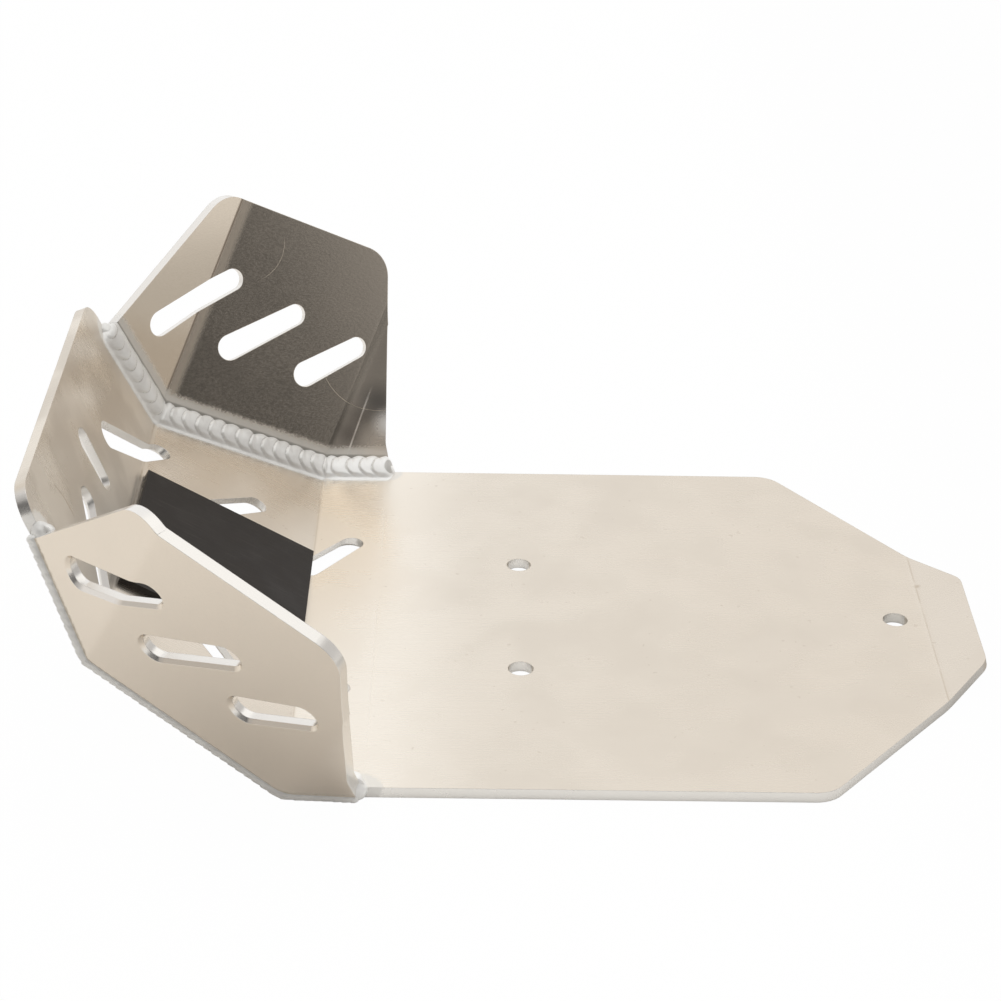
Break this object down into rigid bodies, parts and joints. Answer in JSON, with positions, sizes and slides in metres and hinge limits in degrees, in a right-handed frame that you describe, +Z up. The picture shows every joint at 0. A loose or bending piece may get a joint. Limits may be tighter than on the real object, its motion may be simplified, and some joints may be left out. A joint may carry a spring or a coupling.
{
  "type": "motorcycle skid plate",
  "caption": "Bent sheet-metal skid plate with welded, folded side wings, vent slots, bolt holes and a rubber pad on its ramp.",
  "frame": {"origin": "on the underside of the floor, on the centre line, midway between the two front bolt holes", "axes": "+X towards the tail, +Y towards the left side, +Z up towards the engine"},
  "size_m": [0.4032, 0.3723, 0.1402],
  "materials": {
    "plate": "brushed",
    "wings": "brushed",
    "welds": "as welded",
    "pad": "matt"
  },
  "bodies": {
    "root": {"main_plate": "plate", "left_wing": "wings", "right_wing": "wings", "left_inner_weld": "welds", "right_inner_weld": "welds", "left_outer_weld": "welds", "right_outer_weld": "welds", "rubber_pad": "pad"}
  },
  "joints": []
}
